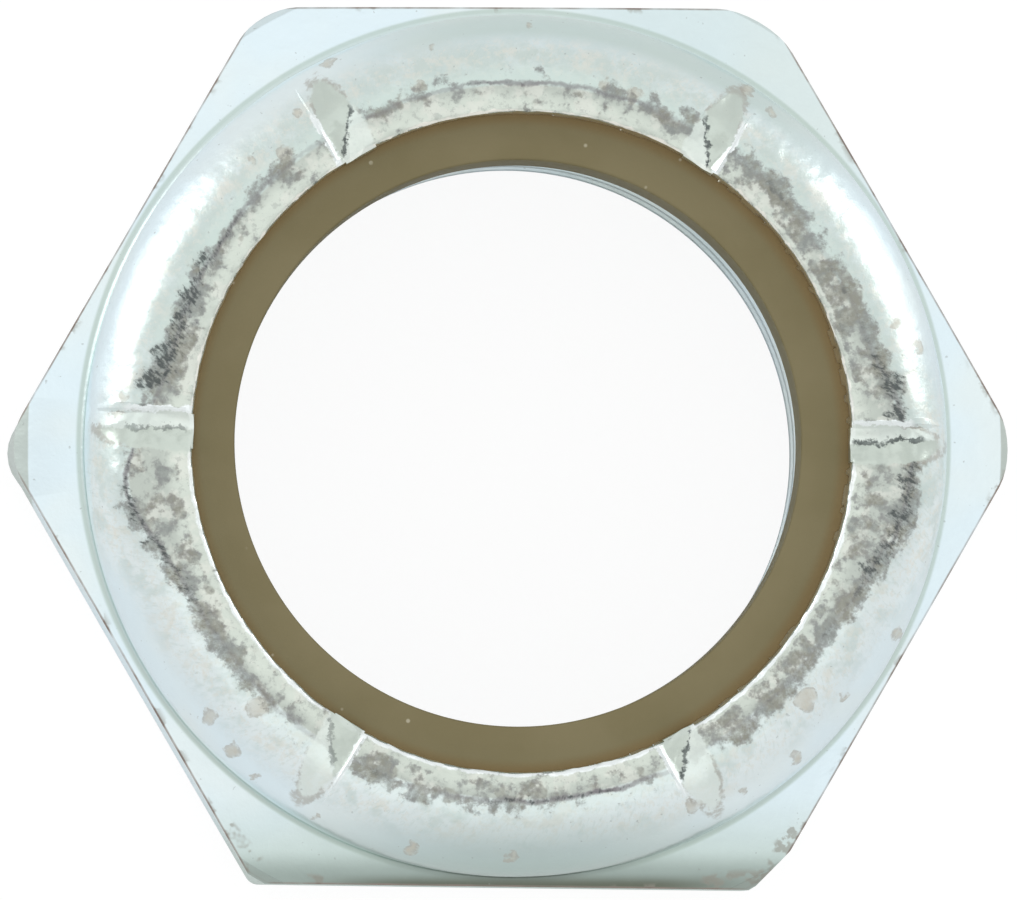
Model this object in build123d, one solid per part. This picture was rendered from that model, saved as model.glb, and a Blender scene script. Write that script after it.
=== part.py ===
from build123d import *
import math
import os

# A thin nylon insert lock nut for 3/4-16 bolts, in millimetres.
# The origin is the middle of the bearing face, +Z runs up to the crimped collar,
# and two of the hexagon's corners lie on the X axis.

# Hexagon
SIDES = 6
ACROSS_FLATS = 26.99
HEX_HEIGHT = 6.5                # to the foot of the collar
CORNER_SHORTFALL = 0.28         # the formed corners stop this far short of sharp, near the top
CORNER_DRAFT = 0.16             # what they gain on the way down
BEVEL_WIDTH = 0.38              # the 45 degree bevel between the top face and a corner
TOP_FACE_FALL = 0.25            # how far the top face drops on its way out to the bevel
BEARING_INSET = 0.5             # from the flats in to the bearing face
BEARING_CHAMFER_ANGLE = 27.0

# Thread, kept as a plain bore at its minor diameter
MAJOR_DIAMETER = 19.05
THREAD_HEIGHT = 0.70            # from the major radius in to the bore
COUNTERSINK_ALLOWANCE = 0.25    # the 45 degree countersinks open this far past the major radius

# Collar, crimped in over the insert
COLLAR_STEP = 0.395             # from the flats in to the collar's wall
COLLAR_FOOT_CHAMFER = 0.25
COLLAR_STRAIGHT = 1.53          # the height of the wall below the crimped shoulder
SEAT_WALL = 1.5                 # its thickness beside the insert
LIP_THICKNESS = 0.95
LIP_EDGE_RADIUS = 0.45
LIP_LAND = 0.27                 # the flat under the lip, before the inside slopes down to the wall

# Insert
SEAT_RISE = 0.7                 # its seat lies this far above the foot of the collar
INSERT_GRIP = 0.145             # its bore is this much smaller than the thread's, in radius
INSERT_SHOWING = 1.30           # the width of nylon inside the lip
INSERT_CLEARANCE = 0.03
INSERT_EDGE_CHAMFER = 0.15

# Staking marks, one pressed into the collar over each corner of the hexagon
MARK_WIDTH = 1.15
MARK_DEPTH = 0.35
MARK_SWEEP = 48.0               # degrees down the shoulder from the crown
MARK_TOOL_MARGIN = 0.3          # how far the cutting tool stands clear of the metal
TAB_REACH = 0.10                # the staked lip stands this far into the opening
TAB_DROP = 0.12                 # its top lies this far under the crown
TAB_CHAMFER = 0.22

# Radii worked out from the sizes above
flat_radius = ACROSS_FLATS / 2
corner_radius = flat_radius / math.cos(math.pi / SIDES) - CORNER_SHORTFALL
full_corner_radius = corner_radius + CORNER_DRAFT
top_circle_radius = corner_radius - BEVEL_WIDTH
bearing_radius = flat_radius - BEARING_INSET
minor_radius = MAJOR_DIAMETER / 2 - THREAD_HEIGHT
countersink_radius = MAJOR_DIAMETER / 2 + COUNTERSINK_ALLOWANCE
insert_bore_radius = minor_radius - INSERT_GRIP
lip_radius = insert_bore_radius + INSERT_SHOWING
crown_radius = lip_radius + LIP_EDGE_RADIUS
collar_radius = flat_radius - COLLAR_STEP
shoulder_radius = collar_radius - crown_radius
seat_radius = collar_radius - SEAT_WALL
slope_radius = lip_radius + LIP_LAND

# Heights worked out from them
bearing_slope = math.tan(math.radians(BEARING_CHAMFER_ANGLE))
bearing_chamfer_height = (full_corner_radius - bearing_radius) * bearing_slope
countersink_depth = countersink_radius - minor_radius
top_circle_height = HEX_HEIGHT - TOP_FACE_FALL
seat_height = HEX_HEIGHT + SEAT_RISE
shoulder_height = HEX_HEIGHT + COLLAR_STRAIGHT
total_height = shoulder_height + shoulder_radius
lip_underside = total_height - LIP_THICKNESS
slope_foot = lip_underside - (seat_radius - slope_radius)


def turned_section():
    """The whole steel section on one side of the axis, from the bearing face to the lip."""
    with BuildSketch(Plane.XZ) as section:
        with BuildLine():
            Polyline(
                (countersink_radius, 0),
                (bearing_radius, 0),
                (full_corner_radius, bearing_chamfer_height),
                (corner_radius, top_circle_height - BEVEL_WIDTH),
                (top_circle_radius, top_circle_height),
                (collar_radius, HEX_HEIGHT),
                (collar_radius, shoulder_height),
            )
            CenterArc((crown_radius, shoulder_height), shoulder_radius, 0, 90)
            CenterArc((crown_radius, total_height - LIP_EDGE_RADIUS), LIP_EDGE_RADIUS, 90, 90)
            Polyline(
                (lip_radius, total_height - LIP_EDGE_RADIUS),
                (lip_radius, lip_underside),
                (slope_radius, lip_underside),
                (seat_radius, slope_foot),
                (seat_radius, seat_height),
                (countersink_radius, seat_height),
                (minor_radius, seat_height - countersink_depth),
                (minor_radius, countersink_depth),
                (countersink_radius, 0),
            )
        make_face()
        collar_foot = section.vertices().sort_by_distance((collar_radius, HEX_HEIGHT))[0]
        chamfer(collar_foot, COLLAR_FOOT_CHAMFER)
    return section.sketch


def staked_tab():
    """The stretch of lip that a staking blow pushes into the opening, on the +X side."""
    tab_radius = lip_radius - TAB_REACH
    tab_top = total_height - TAB_DROP
    with BuildPart() as tab:
        with BuildSketch(Plane.XZ) as outline:
            Polygon(
                (crown_radius, lip_underside),
                (tab_radius, lip_underside),
                (tab_radius, tab_top),
                (crown_radius, tab_top),
                align=None,
            )
            inner_corner = outline.vertices().sort_by_distance((tab_radius, tab_top))[0]
            chamfer(inner_corner, TAB_CHAMFER)
        extrude(amount=MARK_WIDTH / 2, both=True)
    return tab.part


def mark_cutter():
    """A V that follows the round shoulder up to the crown, then runs straight in through the lip."""
    top = total_height + MARK_TOOL_MARGIN
    half_width = MARK_WIDTH / 2 * (MARK_DEPTH + MARK_TOOL_MARGIN) / MARK_DEPTH
    shoulder_axis = Axis((crown_radius, 0, shoulder_height), (0, 1, 0))
    with BuildPart() as cutter:
        with BuildSketch(Plane.YZ.offset(crown_radius)) as vee:
            Polygon((0, total_height - MARK_DEPTH), (half_width, top), (-half_width, top), align=None)
        revolve(axis=shoulder_axis, revolution_arc=MARK_SWEEP)
        extrude(vee.sketch, amount=-(LIP_EDGE_RADIUS + TAB_REACH + MARK_TOOL_MARGIN))
    return cutter.part


def nut_body():
    """The steel nut: hexagon, thread bore and crimped collar, formed from one blank."""
    with BuildPart() as body:
        add(turned_section())
        revolve(axis=Axis.Z)
        with BuildSketch():
            RegularPolygon(flat_radius, SIDES, major_radius=False)
        extrude(amount=total_height, mode=Mode.INTERSECT)
        with PolarLocations(0, SIDES):
            add(staked_tab())
        with PolarLocations(0, SIDES):
            add(mark_cutter(), mode=Mode.SUBTRACT)
    return body.part


def nylon_ring():
    """The locking insert, held on its seat by the collar that is crimped down over it."""
    outer_radius = seat_radius - INSERT_CLEARANCE
    top = lip_underside - INSERT_CLEARANCE
    with BuildPart() as ring:
        with BuildSketch(Plane.XZ) as section:
            Polygon(
                (insert_bore_radius, seat_height),
                (outer_radius, seat_height),
                (outer_radius, slope_foot),
                (slope_radius, top),
                (insert_bore_radius, top),
                align=None,
            )
            bore_corners = section.vertices().group_by(Axis.X)[0]
            chamfer(bore_corners, INSERT_EDGE_CHAMFER)
        revolve(axis=Axis.Z)
    return ring.part


os.makedirs("parts", exist_ok=True)
export_step(nut_body(), "parts/nut_body.step")
export_step(nylon_ring(), "parts/nylon_ring.step")
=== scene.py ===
import math
from collections import namedtuple

import bpy
from mathutils import Matrix, Vector


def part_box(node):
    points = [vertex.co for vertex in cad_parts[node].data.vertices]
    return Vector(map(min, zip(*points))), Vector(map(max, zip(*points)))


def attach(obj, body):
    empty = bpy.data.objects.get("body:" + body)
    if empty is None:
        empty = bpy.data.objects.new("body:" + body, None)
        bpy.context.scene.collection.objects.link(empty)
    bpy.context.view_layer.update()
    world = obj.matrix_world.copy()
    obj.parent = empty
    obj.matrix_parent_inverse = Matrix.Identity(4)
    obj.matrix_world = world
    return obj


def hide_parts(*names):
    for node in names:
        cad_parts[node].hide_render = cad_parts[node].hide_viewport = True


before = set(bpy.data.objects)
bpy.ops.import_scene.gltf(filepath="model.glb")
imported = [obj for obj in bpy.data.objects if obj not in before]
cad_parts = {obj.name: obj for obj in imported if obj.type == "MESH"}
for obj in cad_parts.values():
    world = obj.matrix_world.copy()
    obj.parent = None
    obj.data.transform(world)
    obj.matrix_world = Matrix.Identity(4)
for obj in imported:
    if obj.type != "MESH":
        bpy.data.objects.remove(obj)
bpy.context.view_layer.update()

MM = 0.001
WELD = 0.002 * MM                     # points nearer than this are one point

# What the frame gives
_, nut_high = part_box("nut_body")
ring_low, ring_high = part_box("nylon_ring")
FLAT = nut_high.y                     # from the axis to a flat
FULL_CORNER = nut_high.x              # from the axis to a corner, where it is widest
TOP = nut_high.z - 0.075 * MM         # the ridge, with room above it for its unevenness
SEAT = ring_low.z                     # where the nylon ring stands in the collar
RING_TOP = ring_high.z
RING_RADIUS = ring_high.x
CLEARANCE = 0.03 * MM                 # between the nylon and the steel round and over it

# The hexagon and the bearing side
SIDES = 6
HALF_SIDE = math.pi / SIDES           # half the angle that one flat takes up
HEX_TOP = 6.5 * MM
TOP_FALL = 0.25 * MM
CORNER = FULL_CORNER - 0.16 * MM
BEVEL = 0.38 * MM
BEARING = FLAT - 0.5 * MM
BEARING_RISE = 1.257 * MM
COLLAR = FLAT - 0.395 * MM
FOOT_ROUND = 0.20 * MM
FOOT_STEPS = 6
CORNER_STEPS = 8
NARROWED = math.radians(0.73)         # how far the -Y flat is out of true
FRONT_FLAT = FLAT * (math.cos(NARROWED) - math.sin(NARROWED) / math.sqrt(3))   # from the axis to it
SIDE_ROWS = (2.2 * MM, HEX_TOP - 1.0 * MM)    # where rows of points lie round the flats

# The crimped collar
RIDGE = 10.85 * MM                    # radius of the ridge between the shoulder and the land
SHOULDER = COLLAR - RIDGE
SHOULDER_BASE = TOP - SHOULDER
LIP = 9.98 * MM
LIP_ROUND = 0.14 * MM
LIP_DIP = 0.14 * MM                   # the lip lies this far under the ridge
LIP_UNDERSIDE = RING_TOP + CLEARANCE
LAND = 0.27 * MM                      # the flat under the lip
LIP_SHIFT = 0.09 * MM                 # how far the lip lies off centre
INSIDE = RING_RADIUS + CLEARANCE      # the collar's inside
SLOPE = RING_RADIUS - LIP - 0.24 * MM   # how far it slopes down from the land to there
LIP_ROW = 0.3 * MM                    # how high over its underside a row of points runs round it
LIP_STEPS = 4
LAND_STEPS = 6
SHOULDER_STEPS = 20
TURN_STEPS = 1080
UNEVEN = ((0.07 * MM, 1.6 * MM), (0.035 * MM, 0.45 * MM))   # by how much, over what distance
RAGGED_LIP = (0.07 * MM, 0.5 * MM)    # the same for the lip's edge
SMOOTH = math.radians(30)             # edges sharper than this stay crisp

# Where the crimping die pressed the ridge outwards, in degrees round the axis,
# and how wide
PRESSED = ((-6.0, 16.0), (186.5, 11.0))
PRESSED_REACH = 1.05 * MM

# The thread
PITCH = 25.4 / 16 * MM
MAJOR = 9.525 * MM
MINOR = 8.825 * MM
PILOT = 8.4 * MM                      # the hole before it is tapped
COUNTERSINK = MAJOR + 0.25 * MM
THREAD_ANGLE = math.radians(30)       # half the angle of its V
THREAD_STEPS = 180                    # to one turn
THREAD_TURNS = 9
TAP_OVERRUN = 0.5 * MM                # how far the tap runs past both ends of the thread

# The nylon ring
NYLON_BORE = 8.58 * MM
NYLON_ROUND = 0.10 * MM
NYLON_ROW = 9.3 * MM                  # radius of a row of points across its top
NYLON_STEPS = 5
NYLON_TURN_STEPS = 360

# The corners: where each lies, the radius of its round, and how far its bevel at the top is pulled
# inwards (or pushed outwards, below zero)
CORNERS = (
    (0.0, 2.3 * MM, -0.02 * MM),
    (60.0, 2.7 * MM, -0.38 * MM),
    (120.0, 2.0 * MM, -0.34 * MM),
    (180.0, 2.0 * MM, 0.16 * MM),
    (240.0, 0.4 * MM, -0.40 * MM),
    (300.0, 0.3 * MM, -0.36 * MM),
)
BEVEL_REACH = 26.0                    # degrees from a corner to where its bevel is plain again
# The plane that cuts off the last corner: a point on it, and the angle it faces, from -Y to +X
BROKEN_CORNER = (7.40 * MM, -13.42 * MM)
BROKEN_TURN = math.radians(46)
# The two corners on the X axis fill out under this height, over these degrees to each side
FILLED_HEIGHT = 3 * MM
FILLED_REACH = 3.4

# The staking marks: where each lies, how far the bottom of its valley lies to one side at the lip
# and then on the shoulder, how strongly its dark bottom shows, the side of its burr and the side of
# its flank that is painted in shade
Mark = namedtuple("Mark", "degrees at_lip on_shoulder strength burr_side flank_side")
MARKS = (
    Mark(-0.4, 0.06 * MM, 0.16 * MM, 1.0, 1, -1),
    Mark(57.7, -0.42 * MM, 0.48 * MM, 1.0, -1, -1),
    Mark(119.3, 0.45 * MM, -0.50 * MM, 1.0, 1, 1),
    Mark(178.3, -0.10 * MM, -0.06 * MM, 0.6, -1, 1),
    Mark(238.5, -0.50 * MM, 0.32 * MM, 0.6, 1, 1),
    Mark(298.3, 0.42 * MM, -0.55 * MM, 1.0, -1, -1),
)
MARK_WIDTH = 1.22 * MM
MARK_DEPTH = 0.16 * MM
MARK_SWEEP = 58.0                     # degrees down the shoulder
MARK_RUN_OUT = 0.20 * MM              # how far off its centre the tooth swept, so that it left the metal
MARK_STEPS = 8
BURR_WIDTH = 0.36 * MM
BURR_HEIGHT = 0.065 * MM
BURR_START = LIP + 0.12 * MM
BURR_SIDE = MARK_WIDTH / 2 + 0.1 * BURR_WIDTH   # from the middle of the mark
BURR_SWEEP = 52.0                     # degrees down the shoulder
BURR_RUN_OUT = -0.10 * MM             # its lower end sinks into the shoulder
TAB_REACH = 0.06 * MM                 # how far the lip stands into the opening under a mark
TAB_LENGTH = 0.6 * MM
TAB_WIDTH = 1.04 * MM
TAB_LIFT = 0.04 * MM                  # its underside lies this far above the lip's
TAB_DROP = 0.03 * MM                  # its top lies this far under the lip's
TAB_ROUND = 0.12 * MM


def take(piece):
    """Makes the piece the only selected and the active object."""
    bpy.ops.object.select_all(action="DESELECT")
    piece.select_set(True)
    bpy.context.view_layer.objects.active = piece


def edit(piece):
    """Goes into edit mode with all of the piece selected."""
    take(piece)
    bpy.ops.object.mode_set(mode="EDIT")
    bpy.ops.mesh.select_all(action="SELECT")


def leave_edit():
    bpy.ops.object.mode_set(mode="OBJECT")


def select(piece, kind, test):
    """Goes into edit mode with only the points (VERT) or edges (EDGE) selected that pass the test."""
    edit(piece)
    bpy.ops.mesh.select_mode(type=kind)
    bpy.ops.mesh.select_all(action="DESELECT")
    leave_edit()
    for part in piece.data.vertices if kind == "VERT" else piece.data.edges:
        part.select = test(part)
    bpy.ops.object.mode_set(mode="EDIT")


def select_points(piece, test):
    """Selects only the points whose place passes the test."""
    select(piece, "VERT", lambda point: test(point.co))


def select_corner_edge(piece, degrees):
    """Selects only the upright edge that lies at an angle, give or take 3 degrees."""
    def at_corner(edge):
        low, high = (piece.data.vertices[point].co for point in edge.vertices)
        return math.hypot(high.x - low.x, high.y - low.y) < WELD and away_from(low, degrees) < 3

    select(piece, "EDGE", at_corner)


def first_point(name, place):
    """Starts an outline: a plane shrunk to one point and moved to its place, in edit mode."""
    bpy.ops.object.select_all(action="DESELECT")
    bpy.ops.mesh.primitive_plane_add(size=MM)
    piece = bpy.context.object
    piece.name = name
    bpy.ops.object.mode_set(mode="EDIT")
    bpy.ops.mesh.select_all(action="SELECT")
    bpy.ops.mesh.merge(type="CENTER")
    bpy.ops.transform.translate(value=(place[0], 0, place[1]))
    return piece


def run_to(start, places):
    """Extrudes the selected point through the places of a section, and returns the last one."""
    for place in places:
        step = (place[0] - start[0], 0, place[1] - start[1])
        bpy.ops.mesh.extrude_region_move(TRANSFORM_OT_translate={"value": step})
        start = place
    return start


def arc_to(start, centre, degrees, steps):
    """Spins the selected point about a centre in the section, and returns where it ends."""
    turn = math.radians(degrees)
    bpy.ops.mesh.spin(steps=steps, angle=turn, center=(centre[0], 0, centre[1]), axis=(0, 1, 0))
    away = Vector((start[0] - centre[0], start[1] - centre[1]))
    end = (away.x * math.cos(turn) - away.y * math.sin(turn),
           away.x * math.sin(turn) + away.y * math.cos(turn))
    return (centre[0] + end[0], centre[1] + end[1])


def turn_section(steps):
    """Closes the outline, spins it once round the axis and welds it into a solid."""
    bpy.ops.mesh.select_all(action="SELECT")
    bpy.ops.mesh.remove_doubles(threshold=WELD)
    bpy.ops.mesh.select_all(action="SELECT")
    bpy.ops.mesh.spin(steps=steps, angle=2 * math.pi, center=(0, 0, 0), axis=(0, 0, 1))
    bpy.ops.mesh.select_all(action="SELECT")
    bpy.ops.mesh.remove_doubles(threshold=WELD)
    bpy.ops.mesh.normals_make_consistent(inside=False)
    leave_edit()


def carve(piece, tool, operation):
    """Applies one boolean with a tool, which is then thrown away."""
    take(piece)
    cut = piece.modifiers.new("cut", "BOOLEAN")
    cut.operation = operation
    cut.solver = "EXACT"
    cut.object = tool
    bpy.ops.object.modifier_apply(modifier=cut.name)
    bpy.data.objects.remove(tool)


def in_place(piece):
    """Puts the object's place, turn and scale into its mesh."""
    take(piece)
    bpy.ops.object.transform_apply(location=True, rotation=True, scale=True)


def join(pieces):
    """Joins the pieces into the first of them."""
    take(pieces[0])
    for piece in pieces[1:]:
        piece.select_set(True)
    bpy.ops.object.join()
    return bpy.context.object


def weigh(piece, name, weight):
    """Makes a vertex group whose weights come from each point's place."""
    group = piece.vertex_groups.new(name=name)
    for vertex in piece.data.vertices:
        share = weight(vertex.co)
        if share > 0:
            group.add([vertex.index], share, "REPLACE")
    return group


def push(piece, weight, reach, direction="NORMAL", grain=None):
    """Moves the weighted points by up to the reach, evenly or by a cloudy noise of that grain."""
    group = weigh(piece, "pushed", weight)
    move = piece.modifiers.new("push", "DISPLACE")
    move.vertex_group = group.name
    move.direction = direction
    move.strength = reach
    move.mid_level = 0
    if grain:
        clouds = bpy.data.textures.new("grain", "CLOUDS")
        clouds.noise_scale = grain
        clouds.noise_depth = 3
        move.texture = clouds
        move.texture_coords = "LOCAL"
        move.mid_level = 0.5
    take(piece)
    bpy.ops.object.modifier_apply(modifier=move.name)
    piece.vertex_groups.clear()


def bearing_of(place):
    return math.degrees(math.atan2(place.y, place.x))


def pressed_share(degrees, centre, width):
    """How strongly the die pressed the ridge at an angle, from 0 to 1."""
    away = (degrees - centre + 180) % 360 - 180
    return math.exp(-(away / width) ** 2)


def steel_blank():
    """The turned form of the nut, before its flats, thread and marks."""
    place = (COUNTERSINK, 0)
    piece = first_point("steel_nut", place)
    place = run_to(place, [
        (BEARING, 0),
        (FULL_CORNER, BEARING_RISE),
        (CORNER, HEX_TOP - TOP_FALL - BEVEL),
        (CORNER - BEVEL, HEX_TOP - TOP_FALL),
        (COLLAR + FOOT_ROUND, HEX_TOP),
    ])
    place = arc_to(place, (COLLAR + FOOT_ROUND, HEX_TOP + FOOT_ROUND), -90, FOOT_STEPS)
    place = run_to(place, [(COLLAR, SHOULDER_BASE)])
    place = arc_to(place, (RIDGE, SHOULDER_BASE), 90, SHOULDER_STEPS)
    lip_top = (LIP + LIP_ROUND, TOP - LIP_DIP)
    land = [(RIDGE + (lip_top[0] - RIDGE) * step / LAND_STEPS,
             TOP + (lip_top[1] - TOP) * step / LAND_STEPS)
            for step in range(1, LAND_STEPS + 1)]
    place = run_to(place, land)
    place = arc_to(place, (LIP + LIP_ROUND, place[1] - LIP_ROUND), 90, LIP_STEPS)
    run_to(place, [
        (LIP, LIP_UNDERSIDE + LIP_ROW),
        (LIP, LIP_UNDERSIDE),
        (LIP + LAND, LIP_UNDERSIDE),
        (INSIDE, LIP_UNDERSIDE - SLOPE),
        (INSIDE, SEAT),
        (COUNTERSINK, SEAT),
        (PILOT, SEAT - (COUNTERSINK - PILOT)),
        (PILOT, COUNTERSINK - PILOT),
        (COUNTERSINK, 0),
    ])
    turn_section(TURN_STEPS)
    return piece


def press_ridge(piece):
    """Presses the ridge outwards on two sides, as the crimping die left it."""
    lip_top = LIP + LIP_ROUND
    for (centre, width), side in zip(PRESSED, (1, -1)):
        def weight(place):
            radius = math.hypot(place.x, place.y)
            if place.z < SHOULDER_BASE or radius < lip_top:
                return 0
            if place.z < TOP - LIP_DIP and radius < RIDGE:
                return 0
            if radius > RIDGE:
                share = 1 - (radius - RIDGE) / SHOULDER
            else:
                share = (radius - lip_top) / (RIDGE - lip_top)
            return share * pressed_share(bearing_of(place), centre, width)
        push(piece, weight, side * PRESSED_REACH, direction="X")


def roughen(piece):
    """Leaves the collar as uneven as crimping and barrel plating do, and its lip ragged."""
    def crown(place):
        # It starts 1 mm above the hexagon and grows over the next 2 mm
        if math.hypot(place.x, place.y) < LIP + 0.02 * MM:
            return 0
        return min(1, max(0, (place.z - HEX_TOP - 1 * MM) / (2 * MM)))

    def lip(place):
        radius = math.hypot(place.x, place.y)
        return 1 if radius < LIP + 0.1 * MM and place.z > LIP_UNDERSIDE - WELD else 0

    for reach, grain in UNEVEN:
        push(piece, crown, reach, grain=grain)
    reach, grain = RAGGED_LIP
    push(piece, lip, reach, grain=grain)


def shift_lip(piece):
    """Sets the lip a little off centre, as the crimping left it."""
    def weight(place):
        radius = math.hypot(place.x, place.y)
        if place.z < LIP_UNDERSIDE - WELD or radius > RIDGE:
            return 0
        return min(1, (RIDGE - radius) / (RIDGE - LIP - LAND))
    push(piece, weight, LIP_SHIFT, direction="X")


def bearing(degrees):
    """The level direction that lies at an angle round the axis."""
    turn = math.radians(degrees)
    return Vector((math.cos(turn), math.sin(turn), 0))


def away_from(place, degrees):
    """How many degrees round the axis a place lies from an angle."""
    return abs((bearing_of(place) - degrees + 180) % 360 - 180)


def shape_bevels(piece):
    """Makes the bevel at the top of each corner as wide or as narrow as it is."""
    for degrees, _, pulled_in in CORNERS:
        def weight(place):
            at_bevel = abs(math.hypot(place.x, place.y) - CORNER + BEVEL) < WELD
            return max(0, 1 - away_from(place, degrees) / BEVEL_REACH) if at_bevel else 0
        turn = math.radians(degrees)
        for direction, share in (("X", math.cos(turn)), ("Y", math.sin(turn))):
            if abs(share) > 0.01:
                push(piece, weight, -pulled_in * share, direction=direction)


def hexagon():
    """A tall six-sided prism: each corner has its own round, and one flat is out of true."""
    bpy.ops.object.select_all(action="DESELECT")
    bpy.ops.mesh.primitive_cylinder_add(
        vertices=SIDES, radius=FLAT / math.cos(HALF_SIDE), depth=3 * TOP,
        location=(0, 0, TOP / 2), rotation=(0, 0, HALF_SIDE))
    piece = bpy.context.object
    in_place(piece)
    trim(piece, (FLAT * math.tan(HALF_SIDE), -FLAT),
         (-math.sin(NARROWED), -math.cos(NARROWED)))
    for degrees, corner_round, _ in CORNERS:
        select_corner_edge(piece, degrees)
        bpy.ops.mesh.bevel(
            offset=corner_round * math.tan(HALF_SIDE), segments=CORNER_STEPS, affect="EDGES")
        leave_edit()
    trim(piece, BROKEN_CORNER, (math.sin(BROKEN_TURN), -math.cos(BROKEN_TURN)))
    edit(piece)
    for height in SIDE_ROWS:
        bpy.ops.mesh.select_all(action="SELECT")
        bpy.ops.mesh.bisect(plane_co=(0, 0, height), plane_no=(0, 0, 1))
    leave_edit()
    for degrees, corner_round, _ in (CORNERS[0], CORNERS[3]):
        drawn_in = FLAT / math.cos(HALF_SIDE) - corner_round * (1 / math.cos(HALF_SIDE) - 1)

        def low_corner(place):
            if place.z > FILLED_HEIGHT:
                return 0
            return max(0, 1 - (away_from(place, degrees) / FILLED_REACH) ** 2)

        push(piece, low_corner, FULL_CORNER - drawn_in)
    return piece


def trim(piece, edge_point, outward):
    """Cuts the piece off along an upright plane through a point, and closes it."""
    edit(piece)
    bpy.ops.mesh.bisect(plane_co=(*edge_point, 0), plane_no=(*outward, 0),
                        use_fill=True, clear_outer=True)
    leave_edit()


def tap():
    """A threaded rod, to cut the thread: one pitch of its profile, screwed up past the nut."""
    crest_half = PITCH / 16
    root_half = crest_half + (MAJOR - MINOR) * math.tan(THREAD_ANGLE)
    start = -2 * PITCH
    place = (MINOR, start)
    piece = first_point("tap", place)
    run_to(place, [
        (MINOR, start + PITCH / 2 - root_half),
        (MAJOR, start + PITCH / 2 - crest_half),
        (MAJOR, start + PITCH / 2 + crest_half),
        (MINOR, start + PITCH / 2 + root_half),
        (MINOR, start + PITCH),
    ])
    leave_edit()
    take(piece)
    thread = piece.modifiers.new("thread", "SCREW")
    thread.steps = thread.render_steps = THREAD_STEPS
    thread.screw_offset = PITCH
    thread.iterations = THREAD_TURNS
    thread.use_merge_vertices = True
    thread.merge_threshold = WELD
    bpy.ops.object.modifier_apply(modifier=thread.name)
    edit(piece)
    bpy.ops.mesh.remove_doubles(threshold=WELD)
    for height, keep_above in ((-TAP_OVERRUN, True), (SEAT + TAP_OVERRUN, False)):
        bpy.ops.mesh.select_all(action="SELECT")
        bpy.ops.mesh.bisect(plane_co=(0, 0, height), plane_no=(0, 0, 1), use_fill=True,
                            clear_inner=keep_above, clear_outer=not keep_above, threshold=WELD / 10)
    bpy.ops.mesh.select_all(action="SELECT")
    bpy.ops.mesh.normals_make_consistent(inside=False)
    leave_edit()
    return piece


def ridge_at(degrees):
    """The ridge's radius at an angle round the axis."""
    return RIDGE + PRESSED_REACH * max(pressed_share(degrees, *pressing) for pressing in PRESSED)


def over_the_crown(name, ridge, inner, across, half_width, low, high, point_down, run_out, sweep):
    """A three-sided bar that starts inside the lip, climbs the land and runs down the shoulder."""
    # It starts as an even triangle, MM from its middle to each corner
    middle = low + (high - low) * (2 / 3 if point_down else 1 / 3)
    climb = LIP_DIP * (ridge - inner) / (ridge - LIP)
    bpy.ops.object.select_all(action="DESELECT")
    bpy.ops.mesh.primitive_circle_add(
        vertices=3, radius=MM, fill_type="NGON", location=(inner, across, middle - climb),
        rotation=(math.radians(-90 if point_down else 90), 0, math.radians(90)))
    piece = bpy.context.object
    piece.name = name
    in_place(piece)
    edit(piece)
    bpy.ops.transform.resize(
        value=(1, half_width / (MM * math.sin(math.radians(60))), (high - low) / (1.5 * MM)),
        center_override=(inner, across, middle - climb))
    bpy.ops.mesh.extrude_region_move(TRANSFORM_OT_translate={"value": (ridge - inner, 0, climb)})
    bpy.ops.mesh.spin(steps=MARK_STEPS, angle=math.radians(-sweep),
                      center=(ridge + run_out, 0, SHOULDER_BASE), axis=(0, 1, 0))
    bpy.ops.mesh.select_all(action="SELECT")
    bpy.ops.mesh.normals_make_consistent(inside=False)
    leave_edit()
    select_points(piece, lambda place: place.x > ridge + WELD)
    bpy.ops.transform.resize(value=((COLLAR - ridge) / SHOULDER, 1, 1), center_override=(ridge, 0, 0))
    leave_edit()
    return piece


def turn_to(piece, degrees):
    piece.rotation_euler = (0, 0, math.radians(degrees))
    in_place(piece)


def mark_valley(mark):
    """The V that one staking tooth presses, with its bottom crossing from one side to the other."""
    margin = 0.25 * MM
    ridge = ridge_at(mark.degrees)
    inner = LIP - 0.35 * MM
    half_width = MARK_WIDTH / 2 * (MARK_DEPTH + margin) / MARK_DEPTH
    piece = over_the_crown("valley", ridge, inner, 0, half_width,
                           TOP - MARK_DEPTH, TOP + margin, True, MARK_RUN_OUT, MARK_SWEEP)
    # From the ridge outwards the cut crosses a third as far as its dark bottom does
    for start, end, across in ((0, inner + WELD, mark.at_lip), (ridge - WELD, 1, mark.on_shoulder / 3)):
        select_points(piece, lambda place: abs(place.y) < WELD and start < place.x < end)
        bpy.ops.transform.translate(value=(0, across, 0))
        leave_edit()
    turn_to(piece, mark.degrees)
    return piece


def mark_burr(mark):
    """The thin ridge of metal that the tooth raised along one side of its mark."""
    piece = over_the_crown(
        "burr", ridge_at(mark.degrees), BURR_START, mark.burr_side * BURR_SIDE, BURR_WIDTH / 2,
        TOP - BURR_HEIGHT, TOP + BURR_HEIGHT, False, BURR_RUN_OUT, BURR_SWEEP)
    turn_to(piece, mark.degrees)
    return piece


def mark_tab(mark):
    """The stretch of lip that the tooth pushed into the opening."""
    low = LIP_UNDERSIDE + TAB_LIFT
    high = TOP - LIP_DIP - TAB_DROP
    bpy.ops.object.select_all(action="DESELECT")
    bpy.ops.mesh.primitive_cube_add(
        size=1, location=(LIP - TAB_REACH + TAB_LENGTH / 2, 0, (low + high) / 2),
        scale=(TAB_LENGTH, TAB_WIDTH, high - low))
    piece = bpy.context.object
    in_place(piece)
    select_points(piece, lambda place: place.x < LIP and place.z > low + WELD)
    bpy.ops.mesh.bevel(offset=TAB_ROUND, segments=3, affect="EDGES")
    leave_edit()
    turn_to(piece, mark.degrees)
    piece.location = (LIP_SHIFT, 0, 0)
    in_place(piece)
    return piece


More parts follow.
